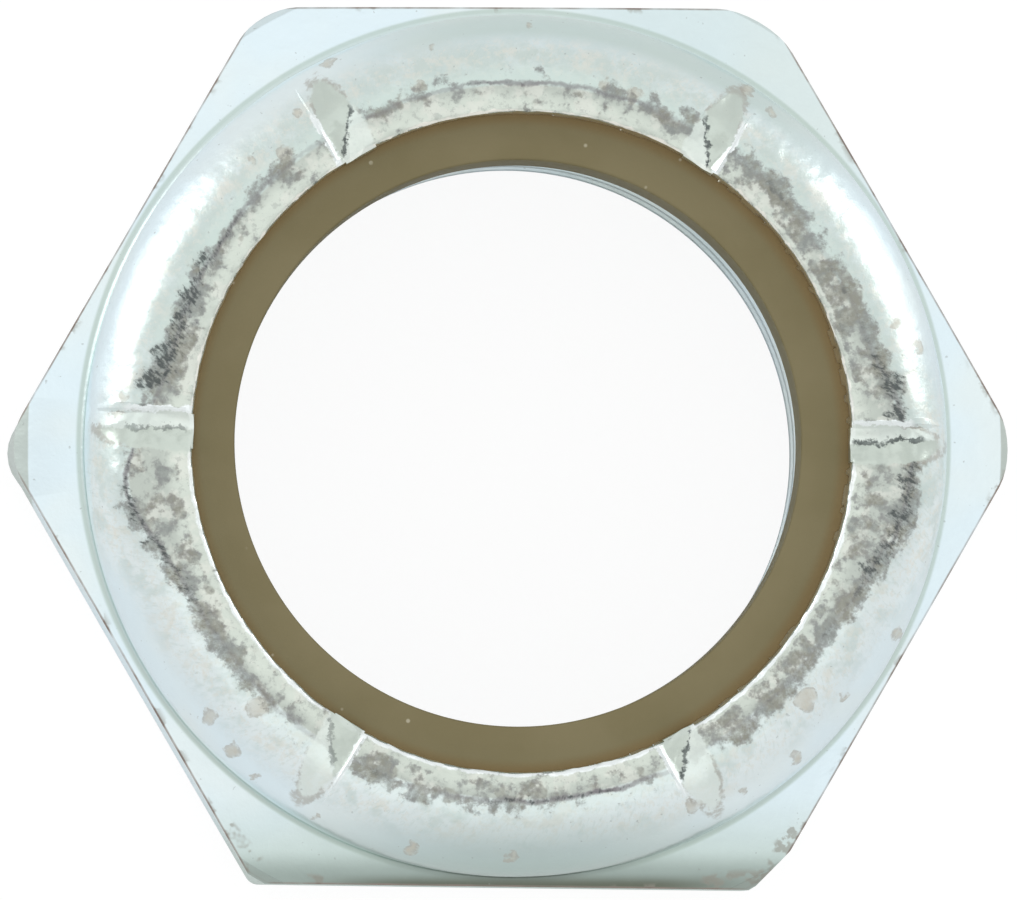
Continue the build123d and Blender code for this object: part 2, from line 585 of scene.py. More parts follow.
def steel_nut():
    piece = steel_blank()
    press_ridge(piece)
    roughen(piece)
    shift_lip(piece)
    shape_bevels(piece)
    carve(piece, hexagon(), "INTERSECT")
    carve(piece, join([mark_tab(mark) for mark in MARKS]), "UNION")
    carve(piece, join([mark_valley(mark) for mark in MARKS]), "DIFFERENCE")
    carve(piece, join([mark_burr(mark) for mark in MARKS]), "UNION")
    carve(piece, tap(), "DIFFERENCE")
    take(piece)
    bpy.ops.object.shade_smooth_by_angle(angle=SMOOTH)
    return piece


def nylon_ring():
    edge = NYLON_BORE + NYLON_ROUND
    place = (edge, SEAT)
    piece = first_point("nylon_insert", place)
    place = run_to(place, [
        (RING_RADIUS, SEAT),
        (RING_RADIUS, LIP_UNDERSIDE - SLOPE),
        (LIP + LAND, RING_TOP),
        (LIP, RING_TOP),
        (NYLON_ROW, RING_TOP),
        (edge, RING_TOP),
    ])
    place = arc_to(place, (edge, RING_TOP - NYLON_ROUND), 90, NYLON_STEPS)
    place = run_to(place, [(NYLON_BORE, SEAT + NYLON_ROUND)])
    arc_to(place, (edge, SEAT + NYLON_ROUND), 90, NYLON_STEPS)
    turn_section(NYLON_TURN_STEPS)
    bpy.ops.object.shade_smooth_by_angle(angle=SMOOTH)
    return piece


# The words that the finishes are written in

def start_finish(name):
    """A new material, and the shader node that the finish feeds."""
    material = bpy.data.materials.new(name)
    material.use_nodes = True
    return material, material.node_tree.nodes["Principled BSDF"]


def add_node(near, kind, **settings):
    """Adds a node to the tree that another node or its result belongs to."""
    node = near.id_data.nodes.new(kind)
    for setting, value in settings.items():
        setattr(node, setting, value)
    return node


def feed(socket, value):
    """Gives a socket either another node's result or a plain value."""
    if isinstance(value, bpy.types.NodeSocket):
        socket.id_data.links.new(value, socket)
    else:
        socket.default_value = value


def work(operation, *values):
    """Arithmetic on numbers and other nodes' results, of which there is at least one."""
    near = next(value for value in values if isinstance(value, bpy.types.NodeSocket))
    node = add_node(near, "ShaderNodeMath", operation=operation)
    for socket, value in zip(node.inputs, values):
        feed(socket, value)
    return node.outputs[0]


def vector_work(operation, *values):
    node = add_node(values[0], "ShaderNodeVectorMath", operation=operation)
    for socket, value in zip(node.inputs, values):
        feed(socket, value)
    return node


def along(place, direction):
    """How far a place lies in a direction."""
    return vector_work("DOT_PRODUCT", place, tuple(direction)).outputs["Value"]


def off_point(place, point):
    """How far a place lies from a point."""
    return vector_work("DISTANCE", place, tuple(point)).outputs["Value"]


def split(vector):
    """The X, Y and Z of a place or a direction."""
    parts = add_node(vector, "ShaderNodeSeparateXYZ")
    feed(parts.inputs[0], vector)
    return parts.outputs


def fade(value, none, full):
    """A soft share, from 0 where the value is at none to 1 where it is at full."""
    node = add_node(value, "ShaderNodeMapRange", interpolation_type="SMOOTHSTEP")
    low, high = min(none, full), max(none, full)
    feed(node.inputs["Value"], value)
    node.inputs["From Min"].default_value = low
    node.inputs["From Max"].default_value = high
    node.inputs["To Min"].default_value = 0 if none < full else 1
    node.inputs["To Max"].default_value = 1 if none < full else 0
    return node.outputs["Result"]


def noise(place, size, detail, roughness=0.5):
    """A noise node whose lumps are about this many millimetres across."""
    node = add_node(place, "ShaderNodeTexNoise")
    feed(node.inputs["Vector"], place)
    node.inputs["Scale"].default_value = 1 / size
    node.inputs["Detail"].default_value = detail
    node.inputs["Roughness"].default_value = roughness
    return node


def cloud(place, size, detail=3, roughness=0.5):
    return noise(place, size, detail, roughness).outputs["Fac"]


def tint(share, without, full):
    """Goes from one colour to another as the share goes from 0 to 1."""
    node = add_node(share, "ShaderNodeMix", data_type="RGBA")
    feed(node.inputs["Factor"], share)
    for name, colour in (("A_Color", without), ("B_Color", full)):
        socket = next(one for one in node.inputs if one.identifier == name)
        feed(socket, colour if isinstance(colour, bpy.types.NodeSocket) else (*colour, 1))
    return next(one for one in node.outputs if one.identifier == "Result_Color")


def level(share, without, full):
    """Goes from one number to another as the share goes from 0 to 1."""
    return work("MULTIPLY_ADD", share, full - without, without)


def both(*shares):
    """A share that is full only where all of these are."""
    result = shares[0]
    for share in shares[1:]:
        result = work("MULTIPLY", result, share)
    return result


def either(*shares):
    """The largest of the shares."""
    result = shares[0]
    for share in shares[1:]:
        result = work("MAXIMUM", result, share)
    return result


def millimetres(shader):
    """The place on the piece in millimetres, from the axis and the bearing face."""
    place = add_node(shader, "ShaderNodeTexCoord")
    scaled = add_node(shader, "ShaderNodeMapping")
    scaled.inputs["Scale"].default_value = (1000, 1000, 1000)
    feed(scaled.inputs["Vector"], place.outputs["Object"])
    return scaled.outputs["Vector"]


def in_plan(place):
    """The place seen from above, and how far it lies from the axis."""
    flat_place = vector_work("MULTIPLY", place, (1, 1, 0)).outputs[0]
    return flat_place, vector_work("LENGTH", flat_place).outputs["Value"]


def bump(height, depth, below=None):
    """Raises the surface by this many millimetres where the height is 1."""
    node = add_node(height, "ShaderNodeBump")
    node.inputs["Distance"].default_value = depth * MM
    feed(node.inputs["Height"], height)
    if below:
        feed(node.inputs["Normal"], below)
    return node.outputs["Normal"]


def within(value, ends):
    """The shares for a stretch that fades out at both ends, one for each end."""
    return [fade(value, *end) for end in ends]


def towards(outward, degrees, width):
    """The share of a stretch round the axis: full at an angle, and gone this many degrees away."""
    return fade(along(outward, bearing(degrees)),
                math.cos(math.radians(width)), math.cos(math.radians(width * 0.35)))


# The nut's colours
BRIGHT_ZINC = (0.80, 0.925, 0.975)
PEARL_ZINC = (0.83, 0.925, 0.935)
# Dull zinc, also laid on as painted shade
DULL_ZINC_AND_SHADE = (0.60, 0.71, 0.67)
# Painted shade along the -Y edge of the hexagon's top
FRONT_SHADE = (0.34, 0.41, 0.38)
# Painted shade on the -Y side of the collar
FRONT_COLLAR_SHADE = (0.47, 0.57, 0.54)
# Painted shade: an olive strip in the middle of that edge
OLIVE_SHADE = (0.125, 0.135, 0.095)
# Painted shade on the corner bevels
BEVEL_SHADE = (0.50, 0.56, 0.51)
# The crown's tints: the +Y side's green darkened as painted shade, the -Y side's blue brightened as
# painted light
SHADED_CROWN_GREEN = (0.69, 0.785, 0.75)
LIT_CROWN_BLUE = (0.88, 0.965, 0.97)
CREAM = (0.84, 0.85, 0.78)
LAND_ZINC = (0.70, 0.765, 0.69)
LAND_DULL = (0.52, 0.57, 0.52)
# Painted highlights: the lip's edge, and the burrs of the staking marks
LIP_HIGHLIGHT_CREAM = (0.95, 0.94, 0.86)
HIGHLIGHT_WHITE = (0.94, 1.0, 1.0)
SCUFF_GREY = (0.34, 0.365, 0.35)
SCUFF_BROWN = (0.34, 0.345, 0.30)
SCUFF_CORE = (0.19, 0.205, 0.19)
SCUFF_DARK = (0.085, 0.10, 0.10)
LINE_GREY = (0.25, 0.24, 0.25)
STAIN = (0.64, 0.62, 0.54)
STAIN_RIM = (0.42, 0.40, 0.35)
EDGE_DARK = (0.30, 0.25, 0.22)
FOOT_GREEN = (0.50, 0.61, 0.55)
# The staking marks' flanks: painted shade on one, painted light on the other
SHADED_FLANK = (0.60, 0.67, 0.61)
LIT_FLANK = (0.80, 0.88, 0.83)
NYLON_OLIVE = (0.200, 0.168, 0.078)
NYLON_PALE = (0.220, 0.186, 0.092)
# Painted shade on the nylon under the lip
NYLON_BROWN_SHADE = (0.207, 0.144, 0.054)
NYLON_SPECK = (0.60, 0.56, 0.42)

# Where parts of the finish start, as radii, heights or places along Y in millimetres. Each pair goes
# from where the part is not seen to where it is full.
COLLAR_RADII = (9.7, 9.9)
COLLAR_HEIGHTS = (7.4, 7.8)
HEXAGON_HEIGHTS = (7.2, 6.8)
TOP_FACE_HEIGHTS = ((7.4, 7.2), (5.6, 6.0))
FRONT_OF_HEXAGON = (-10.0, -13.2)
FRONT_OF_COLLAR = (-10.6, -13.2)
FRONT_EDGE = (-12.2, -13.1)
OLIVE_STRIP = (-12.95, -13.35)
OLIVE_ENDS = ((-7.5, -3.0), (8.5, 4.0))     # along X
LIP_HIGHLIGHT_RADII = (10.15, 10.08)
LAND_DULL_RADII = (10.3, 10.75)
FOOT_CENTRE = (0.03, 0.09, 0)
FOOT_RADII = ((13.42, 13.32), (13.17, 13.27))
CHAMFER_RADII = ((13.28, 13.20), (13.02, 13.10))
BEVEL_HEIGHTS = (6.24, 6.20)
BEVEL_RADII = (14.7, 14.8)

# The wear round the ridge: the angle, how strong its grey blotches and its dark line are, and how
# strongly the grey reaches inwards over the land
WEAR = (
    (4, 0.5, 0.6, 0.3), (9, 1.0, 1.0, 0.4), (20, 1.0, 0.4, 1.0), (29, 1.0, 0.4, 0.9), (33, 0.5, 0.2, 0.5),
    (44, 1.0, 0.3, 0.6), (54, 0.7, 0.2, 0.4), (73, 0.6, 0.6, 0.1), (83, 0.2, 0.6, 0.0),
    (97, 0.2, 0.7, 0.0), (106, 0.7, 0.5, 0.0), (123, 0.2, 0.3, 0.1), (130, 0.7, 0.4, 0.3),
    (138, 0.4, 0.6, 0.0), (148, 0.6, 0.9, 0.0), (158, 0.9, 1.0, 0.7), (168, 1.0, 1.0, 0.8),
    (174, 0.3, 0.4, 0.2), (187, 0.4, 1.0, 0.4), (205, 1.0, 0.8, 0.5), (218, 0.8, 0.4, 0.0),
    (232, 0.3, 0.3, 0.0), (248, 0.9, 0.2, 0.7), (259, 0.7, 0.4, 0.3), (268, 0.6, 0.8, 0.6),
    (285, 0.2, 0.9, 0.3), (293, 0.3, 0.3, 0.3), (308, 0.8, 0.3, 0.7), (318, 1.0, 0.6, 0.5),
    (330, 1.0, 0.4, 0.5), (342, 1.0, 0.9, 0.5), (354, 0.9, 1.0, 0.5),
)
# The dried stains on the collar: the angle, the radius and the size
STAINS = (
    (13.6, 12.45, 0.16), (17.8, 11.9, 0.14), (52.7, 12.65, 0.16), (57, 12.8, 0.22), (71.7, 11.05, 0.24),
    (76.4, 11.1, 0.20), (88.4, 12.7, 0.14), (102.7, 12.2, 0.12), (106, 11.12, 0.20), (116.6, 12.9, 0.16),
    (124, 12.0, 0.16), (129, 11.2, 0.26), (133.6, 11.75, 0.14), (173.9, 12.05, 0.16), (221.6, 12.5, 0.24),
    (225.5, 11.25, 0.30), (227, 12.7, 0.24), (232, 12.85, 0.10), (241.5, 12.8, 0.12), (255.3, 12.66, 0.20),
    (269, 12.5, 0.16), (295.5, 12.2, 0.20), (303, 12.5, 0.12), (311.4, 12.68, 0.24), (318, 11.65, 0.36),
    (322, 12.5, 0.12), (333.5, 12.9, 0.20),
)
# Where dark streaks crowd the ridge, the same way
STREAKED = (
    (4.5, 11.4, 0.32), (9, 11.45, 0.38), (150, 11.02, 0.20), (156, 10.9, 0.24), (161, 10.85, 0.28),
    (166.5, 11.0, 0.38), (170.5, 11.3, 0.42), (187, 11.95, 0.14), (191, 11.85, 0.18), (195, 11.62, 0.14),
    (340, 11.14, 0.24), (349, 11.64, 0.22), (354, 11.74, 0.26),
)
# The smudges along the ridge and on the land, the same way
SMUDGES = (
    (23, 11.05, 0.26), (27, 11.05, 0.26), (45, 10.95, 0.20), (64, 10.65, 0.12), (71.7, 10.98, 0.14),
    (76.4, 11.0, 0.14), (105.8, 11.05, 0.14), (109.7, 10.9, 0.12), (144, 10.4, 0.08), (189, 10.7, 0.18),
    (206, 10.35, 0.15), (210, 10.45, 0.14), (248.6, 10.7, 0.28), (258.7, 10.85, 0.20), (267, 10.6, 0.20),
    (273.5, 10.55, 0.20), (290, 10.6, 0.14), (306.4, 10.5, 0.14), (309, 10.5, 0.12), (321.5, 10.5, 0.14),
    (333.7, 10.8, 0.24), (314, 11.0, 0.24),
)


def round_the_axis(outward, table):
    """Reads a table of three shares round the axis, blending from each angle to the next."""
    across_x, across_y, _ = split(outward)
    turn = work("ARCTAN2", across_y, across_x)
    round_share = work("FRACT", work("DIVIDE", turn, 2 * math.pi))
    ramp = add_node(outward, "ShaderNodeValToRGB")
    feed(ramp.inputs["Fac"], round_share)
    stops = ramp.color_ramp.elements
    while len(stops) < len(table):
        stops.new(0.5)
    for stop, (degrees, *_) in zip(stops, table):
        stop.position = degrees / 360
    for stop, (_, *shares) in zip(stops, table):
        stop.color = (*shares, 1)
    channels = add_node(outward, "ShaderNodeSeparateColor")
    feed(channels.inputs[0], ramp.outputs["Color"])
    return channels.outputs


def past_the_spots(place, table):
    """How far a place lies outside the edge of the nearest spot in a table."""
    nearest = None
    for degrees, radius, size in table:
        turn = math.radians(degrees)
        centre = (radius * math.cos(turn), radius * math.sin(turn), 0)
        edge = work("SUBTRACT", off_point(place, centre), size)
        nearest = work("MINIMUM", nearest, edge) if nearest else edge
    return nearest


def staking_shares(place, fine_noise):
    """The marks' flanks in painted shade and light, dark bottoms, burrs with a painted highlight and brown
    rims, as shares.
    """
    shares = {"flank": [], "pale": [], "bottom": [], "burr": [], "rim": []}
    shaken = ragged(place, 0.35, 0.24, 0.10, 0.14)
    fine = swing(fine_noise, 0.44)
    for mark in MARKS:
        out = bearing(mark.degrees)
        side = bearing(mark.degrees + 90)
        ridge = ridge_at(mark.degrees)
        outer = (ridge + 0.76 * (COLLAR - ridge)) / MM

        # An oval whose inner half lies over the lip
        outwards = along(shaken, out)
        across = along(shaken, side)
        far = work("DIVIDE", work("SUBTRACT", outwards, outer - 2.0), 2.0)
        wide = work("DIVIDE", across, 0.62)
        oval = work("SQRT", work("ADD", both(far, far), both(wide, wide)))
        inside = fade(oval, 1.08, 0.92)
        off_rim = work("ABSOLUTE", work("SUBTRACT", oval, 1.05))
        shares["rim"].append(both(fade(off_rim, 0.13, 0.03), fade(far, 0.1, 0.5)))

        # The dark bottom of the valley, which ends a little past the ridge and parts the flanks
        start = out * (LIP / MM + 0.12) + side * (mark.at_lip / MM)
        end = out * (ridge / MM + 0.45) + side * (mark.on_shoulder / MM)
        middle = (start + end) / 2
        normal = (end - start).cross(Vector((0, 0, 1))).normalized()
        if normal.dot(side) * mark.flank_side < 0:
            normal.negate()
        half = (end - start).length / 2
        near = fade(off_point(shaken, middle), half + 0.12, half - 0.10)
        line = work("SUBTRACT", along(shaken, normal), normal.dot(middle))
        off_line = work("ADD", work("ABSOLUTE", line), fine)
        shares["bottom"].append(both(near, fade(off_line, 0.10, 0.01), mark.strength))
        # One flank takes painted shade, the other painted light
        shares["flank"].append(both(inside, fade(line, -0.04, 0.06)))
        shares["pale"].append(both(inside, fade(line, 0.06, -0.04)))

        # The burr along one side, painted white as a highlight
        off_burr = work("ABSOLUTE", work("SUBTRACT", across, mark.burr_side * BURR_SIDE / MM))
        shares["burr"].append(both(fade(off_burr, 0.12, 0.05),
                                   fade(outwards, outer - 0.6, outer - 1.0), fade(outwards, 9.8, 9.9)))
    return {name: either(*parts) for name, parts in shares.items()}


def shake(place, size, reach):
    """A small push in every direction, to make the edge of a share ragged."""
    centred = vector_work("SUBTRACT", noise(place, size, 1).outputs["Color"], (0.5, 0.5, 0.5)).outputs[0]
    return vector_work("MULTIPLY", centred, (reach, reach, 0)).outputs[0]


def ragged(place, size, reach, fine_size, fine_reach):
    """The place in plan, shaken broadly and finely."""
    flat_place = vector_work("MULTIPLY", place, (1, 1, 0)).outputs[0]
    broadly = vector_work("ADD", flat_place, shake(place, size, reach)).outputs[0]
    return vector_work("ADD", broadly, shake(place, fine_size, fine_reach)).outputs[0]


def swing(lumpy, reach):
    """A noise as a push either way of up to about half the reach."""
    return work("MULTIPLY_ADD", lumpy, reach, -reach / 2)


def wash(colour, over, strength, *shares):
    """Lays a colour over another, as strongly as said where the shares are all 1."""
    return tint(work("MULTIPLY", both(*shares), strength), colour, over)


def zinc_finish():
    """Bright zinc over steel: scuffed along the ridge, stained on the collar, chipped and darkened at the
    edges, with painted shade and highlights in places.
    """
    zinc, shader = start_finish("zinc")
    shader.inputs["Metallic"].default_value = 1
    place = millimetres(shader)
    across_x, across_y, height = split(place)
    flat_place, radius = in_plan(place)
    outward = vector_work("NORMALIZE", flat_place).outputs[0]

    # Streaks run outwards and lean: the pattern is stretched along the radius and twisted with it
    twisted = add_node(shader, "ShaderNodeVectorRotate", rotation_type="Z_AXIS")
    feed(twisted.inputs["Vector"], outward)
    feed(twisted.inputs["Angle"], work("MULTIPLY", radius, 0.04))
    stretched = vector_work("SCALE", twisted.outputs[0])
    feed(stretched.inputs["Scale"], work("MULTIPLY_ADD", radius, 0.5, 5.5))
    streaks = cloud(stretched.outputs[0], 0.12, 3, 0.65)
    lumps = cloud(place, 1.1, 3, 0.6)
    patches = cloud(place, 0.55, 4, 0.62)
    mottle = cloud(place, 0.8, 3, 0.65)
    worn_through = cloud(place, 0.22, 3, 0.7)
    grain = cloud(place, 0.10, 1, 0.7)
    broad = cloud(place, 4.5, 2)

    # How far a place lies outside the ridge, and which part of the nut it lies on
    pressed = []
    for degrees, width in PRESSED:
        facing = work("MAXIMUM", along(outward, bearing(degrees)), 0)
        pressed.append(work("POWER", facing, 2 / math.radians(width) ** 2))
    reach = work("MULTIPLY_ADD", either(*pressed), PRESSED_REACH / MM, RIDGE / MM)
    beyond = work("SUBTRACT", radius, reach)
    on_collar = both(fade(height, *COLLAR_HEIGHTS), fade(radius, *COLLAR_RADII))
    upper_side = fade(across_y, -3.0, 4.0)
    blotchy, lined, inward = round_the_axis(outward, WEAR)

    # The plain plating: bluish, greener on the crown, with painted shade towards the -Y side's edge
    colour = tint(fade(broad, 0.40, 0.62), BRIGHT_ZINC, PEARL_ZINC)
    colour = wash(colour, DULL_ZINC_AND_SHADE, 1, fade(across_y, *FRONT_OF_HEXAGON), fade(height, *HEXAGON_HEIGHTS))
    # Painted shade on the hexagon round the corner at 60 degrees
    colour = wash(colour, DULL_ZINC_AND_SHADE, 0.35, towards(outward, 60, 30), fade(height, *HEXAGON_HEIGHTS))
    # The crown: greener on the +Y side and bluer on the -Y side as the plating is, and darker and brighter
    # there as painted shade and light
    crown = tint(upper_side, LIT_CROWN_BLUE, SHADED_CROWN_GREEN)
    crown = wash(crown, PEARL_ZINC, 0.6, fade(patches, 0.42, 0.62))
    crown = wash(crown, CREAM, 0.7, fade(mottle, 0.52, 0.66))
    crown = wash(crown, DULL_ZINC_AND_SHADE, 0.5, fade(lumps, 0.50, 0.66))
    crown = wash(crown, CREAM, 0.5, fade(worn_through, 0.50, 0.64))
    crown = wash(crown, DULL_ZINC_AND_SHADE, 0.3, fade(streaks, 0.50, 0.66))
    # Painted shade: duller towards the ridge, most on the +Y side, in place of the darker reflection there
    crown = wash(crown, DULL_ZINC_AND_SHADE, 0.85, fade(beyond, 0.95, 0.1), level(upper_side, 0.6, 1.0))
    colour = tint(both(on_collar, fade(beyond, 1.9, 0.9)), colour, crown)
    # Painted shade on the -Y side of the collar, and on the outer shoulder round 76 degrees
    colour = wash(colour, FRONT_COLLAR_SHADE, 1, on_collar, fade(across_y, *FRONT_OF_COLLAR))
    colour = wash(colour, DULL_ZINC_AND_SHADE, 0.8, on_collar, fade(beyond, 1.2, 1.7), towards(outward, 76, 44))

    # The land, paler towards the lip, and a painted highlight along the edge of the lip
    on_land = both(on_collar, fade(beyond, 0.0, -0.10))
    land = tint(fade(work("ADD", radius, swing(lumps, 0.8)), *LAND_DULL_RADII), LAND_ZINC, LAND_DULL)
    land = wash(land, LAND_DULL, 0.5, inward)
    land = wash(land, CREAM, 0.4, fade(mottle, 0.5, 0.62))
    land = wash(land, SCUFF_GREY, 0.35, fade(worn_through, 0.52, 0.66))
    colour = tint(on_land, colour, land)
    off_lip = off_point(flat_place, (LIP_SHIFT / MM, 0, 0))
    off_lip = work("ADD", off_lip, swing(patches, 0.30))
    off_lip = work("MULTIPLY_ADD", upper_side, 0.07, off_lip)
    # Painted highlight along the lip's edge: cream on the +Y side, white on the -Y side
    lip_highlight_colour = tint(upper_side, HIGHLIGHT_WHITE, LIP_HIGHLIGHT_CREAM)
    edge = both(on_collar, fade(off_lip, *LIP_HIGHLIGHT_RADII))
    colour = wash(colour, lip_highlight_colour, 1, edge, level(worn_through, 0.2, 2.0))

    # Dried stains, darker at the rim, and smudges
    shaken = ragged(place, 0.5, 0.5, 0.14, 0.12)
    off_stain = past_the_spots(shaken, STAINS)
    stain = both(on_collar, fade(off_stain, 0.06, -0.14))
    rim = both(on_collar, fade(off_stain, 0.04, 0.0), fade(off_stain, -0.14, -0.02),
               fade(worn_through, 0.34, 0.58))
    colour = wash(colour, STAIN, 0.8, stain, level(patches, 0.2, 1.5))
    colour = wash(colour, STAIN_RIM, 0.5, rim)
    off_smudge = past_the_spots(shaken, SMUDGES)
    smudge = both(on_collar, fade(off_smudge, 0.05, -0.04), level(worn_through, 0.3, 1.3))
    colour = wash(colour, SCUFF_BROWN, 0.8, smudge)

    # The worn ridge: grey blotches, a thin line, and dark streaks that spread where both are strong
    wander = work("ADD", beyond, swing(lumps, 0.5))
    off_ridge = work("ABSOLUTE", wander)
    near_ridge = work("MULTIPLY", blotchy, work("MULTIPLY_ADD", off_ridge, -1.4, 0.84))
    over_land = both(inward, on_land, fade(radius, 10.15, 10.35))
    greyness = work("ADD", either(near_ridge, work("MULTIPLY", over_land, 0.64)), swing(patches, 2.2))
    greyness = work("SUBTRACT", greyness, fade(wander, 0.5, 1.1))
    grey = both(on_collar, fade(greyness, 0.15, 0.62))
    scuff = tint(fade(mottle, 0.4, 0.6), SCUFF_GREY, SCUFF_BROWN)
    scuff = wash(scuff, SCUFF_CORE, 0.8, fade(greyness, 0.75, 1.2), level(worn_through, 0.3, 1.6))
    rubbed = both(level(worn_through, 0.0, 1.8), level(streaks, 0.5, 1.5))
    colour = wash(colour, scuff, 1, grey, rubbed)
    grey_rim = both(on_collar, fade(greyness, 0.24, 0.38), fade(greyness, 0.60, 0.44))
    colour = wash(colour, LINE_GREY, 0.35, grey_rim, fade(worn_through, 0.40, 0.56))
    thin = both(on_collar, fade(work("ADD", off_ridge, swing(worn_through, 0.16)), 0.11, 0.02))
    colour = wash(colour, LINE_GREY, 0.8, thin, level(lined, 0.1, 1.3),
                  level(blotchy, 1.2, 0.4), level(mottle, 0.3, 1.6))
    half_width = work("MULTIPLY_ADD", work("POWER", both(blotchy, lined), 2), 0.46, 0.08)
    line = work("SUBTRACT", 1.0, work("DIVIDE", off_ridge, half_width))
    speckle = work("ADD", work("MULTIPLY", streaks, 0.65), work("MULTIPLY", worn_through, 0.35))
    dark = work("ADD", both(lined, line), swing(speckle, 5.0))
    dark = both(fade(lined, 0.55, 0.8), fade(line, -0.5, 0.0), fade(dark, 0.45, 1.35))
    crowd = fade(past_the_spots(shaken, STREAKED), 0.22, -0.22)
    crowded = fade(work("MULTIPLY_ADD", crowd, 0.9, swing(speckle, 5.0)), 0.30, 1.15)
    colour = wash(colour, SCUFF_GREY, 0.6, crowd, on_collar, level(patches, 0.2, 1.4))
    dark = both(on_collar, either(dark, both(crowded, fade(crowd, 0.1, 0.3))))
    colour = wash(colour, SCUFF_DARK, 0.85, dark)

    # The staking marks: painted shade and light on their flanks, and a painted highlight on each burr
    staked = staking_shares(place, worn_through)
    colour = wash(colour, SHADED_FLANK, 0.9, staked["flank"], on_collar)
    colour = wash(colour, LIT_FLANK, 0.8, staked["pale"], on_collar, level(patches, 0.4, 1.4))
    colour = wash(colour, STAIN_RIM, 0.6, staked["rim"], on_collar, fade(patches, 0.42, 0.56))
    valley = both(staked["bottom"], on_collar)
    colour = wash(colour, SCUFF_DARK, 0.9, valley, level(mottle, 0.4, 1.5))
    colour = wash(colour, HIGHLIGHT_WHITE, 0.9, staked["burr"], on_collar, level(worn_through, 0.4, 1.8))

    # The greenish foot of the collar, a little off the axis, and painted shade on its round that damps its
    # highlight; painted shade along the -Y edge, olive in the middle
    above_flats = both(*within(height, TOP_FACE_HEIGHTS))
    off_foot = off_point(flat_place, FOOT_CENTRE)
    foot = both(above_flats, *within(off_foot, FOOT_RADII))
    colour = wash(colour, FOOT_GREEN, 0.7, foot)
    chamfer = both(above_flats, *within(off_foot, CHAMFER_RADII))
    colour = wash(colour, DULL_ZINC_AND_SHADE, 0.6, chamfer)
    colour = wash(colour, FRONT_SHADE, 0.9, above_flats, fade(across_y, *FRONT_EDGE))
    middle = both(*within(across_x, OLIVE_ENDS))
    colour = wash(colour, OLIVE_SHADE, 0.85, above_flats, middle, fade(across_y, *OLIVE_STRIP))
    # Painted shade on the corner bevels, strongest at the corners on the X axis
    bevels = both(fade(height, *BEVEL_HEIGHTS), fade(radius, *BEVEL_RADII))
    bevel_shade_share = level(fade(work("ABSOLUTE", across_y), 6, 4), 0.25, 0.8)
    colour = wash(colour, BEVEL_SHADE, 1, bevels, bevel_shade_share)

    # Chips along the edges of the flats, and a dark line along their top edges and at the corner bevels
    gaps = [work("ABSOLUTE", along(place, bearing(degrees))) for degrees in (30, 90, 150)]
    to_flat = work("SUBTRACT", FLAT / MM, either(*gaps))
    upper = fade(height, 5.5, 6.0)
    low_corners = both(fade(across_y, -9.5, -12.0), fade(radius, 13.8, 14.6))
    worn_in = work("MULTIPLY_ADD", low_corners, -0.45, to_flat)
    chips = both(fade(worn_in, 0.25, 0.0), upper,
                 fade(work("MULTIPLY_ADD", low_corners, 0.05, lumps), 0.56, 0.64),
                 fade(work("MULTIPLY_ADD", low_corners, 0.04, patches), 0.50, 0.58))
    lean = along(place, (-math.sin(NARROWED), -math.cos(NARROWED), 0))
    to_front = work("SUBTRACT", FRONT_FLAT / MM, lean)
    corner_line = both(bevels, fade(height, 6.02, 5.95), fade(work("ABSOLUTE", across_y), 4, 6))
    edge_line = either(fade(work("MINIMUM", to_flat, to_front), 0.07, 0.03), corner_line)
    edge_line = both(edge_line, fade(height, 5.85, 6.15), level(lumps, -0.4, 2.2))
    colour = wash(colour, STAIN_RIM, 0.6, chips)
    colour = wash(colour, EDGE_DARK, 0.8, edge_line)

    # Fine pits
    pits = fade(cloud(place, 0.16, 1, 0.5), 0.74, 0.80)
    colour = wash(colour, SCUFF_GREY, 0.4, pits)
    feed(shader.inputs["Base Color"], colour)

    smooth = level(on_collar, 0.40, 0.31)
    rough = work("ADD", smooth, swing(patches, 0.12))
    rough = work("ADD", rough, work("MULTIPLY", either(grey, dark, stain, chips), 0.2))
    feed(shader.inputs["Roughness"], rough)

    surface = bump(lumps, 0.018)
    surface = bump(patches, 0.012, surface)
    surface = bump(grain, 0.003, surface)
    feed(shader.inputs["Normal"], surface)
    return zinc


def nylon_finish():
    """Olive nylon: matt, with painted brown shade against the steel, and a few pale specks."""
    nylon, shader = start_finish("nylon")
    shader.inputs["Specular IOR Level"].default_value = 0.4
    place = millimetres(shader)
    _, radius = in_plan(place)
    broad = cloud(place, 3.0, 3)
    fine = cloud(place, 0.12, 3, 0.6)
    colour = tint(fade(broad, 0.35, 0.65), NYLON_OLIVE, NYLON_PALE)
    # Painted shade: browner towards the outside, under the lip
    colour = tint(fade(radius, 9.55, 9.95), colour, NYLON_BROWN_SHADE)
    cells = add_node(shader, "ShaderNodeTexVoronoi")
    feed(cells.inputs["Vector"], place)
    cells.inputs["Scale"].default_value = 0.9
    speck = both(fade(cells.outputs["Distance"], 0.075, 0.035), fade(broad, 0.42, 0.50))
    colour = tint(work("MULTIPLY", speck, 0.6), colour, NYLON_SPECK)
    feed(shader.inputs["Base Color"], colour)
    feed(shader.inputs["Roughness"], level(fine, 0.48, 0.62))
    surface = bump(broad, 0.05)
    surface = bump(fine, 0.006, surface)
    feed(shader.inputs["Normal"], surface)
    return nylon


steel = steel_nut()
steel.data.materials.clear()
steel.data.materials.append(zinc_finish())
insert = nylon_ring()
insert.data.materials.append(nylon_finish())

for piece, node, slot in ((steel, "nut_body", "zinc_steel"), (insert, "nylon_ring", "nylon")):
    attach(piece, "root")
    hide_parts(node)


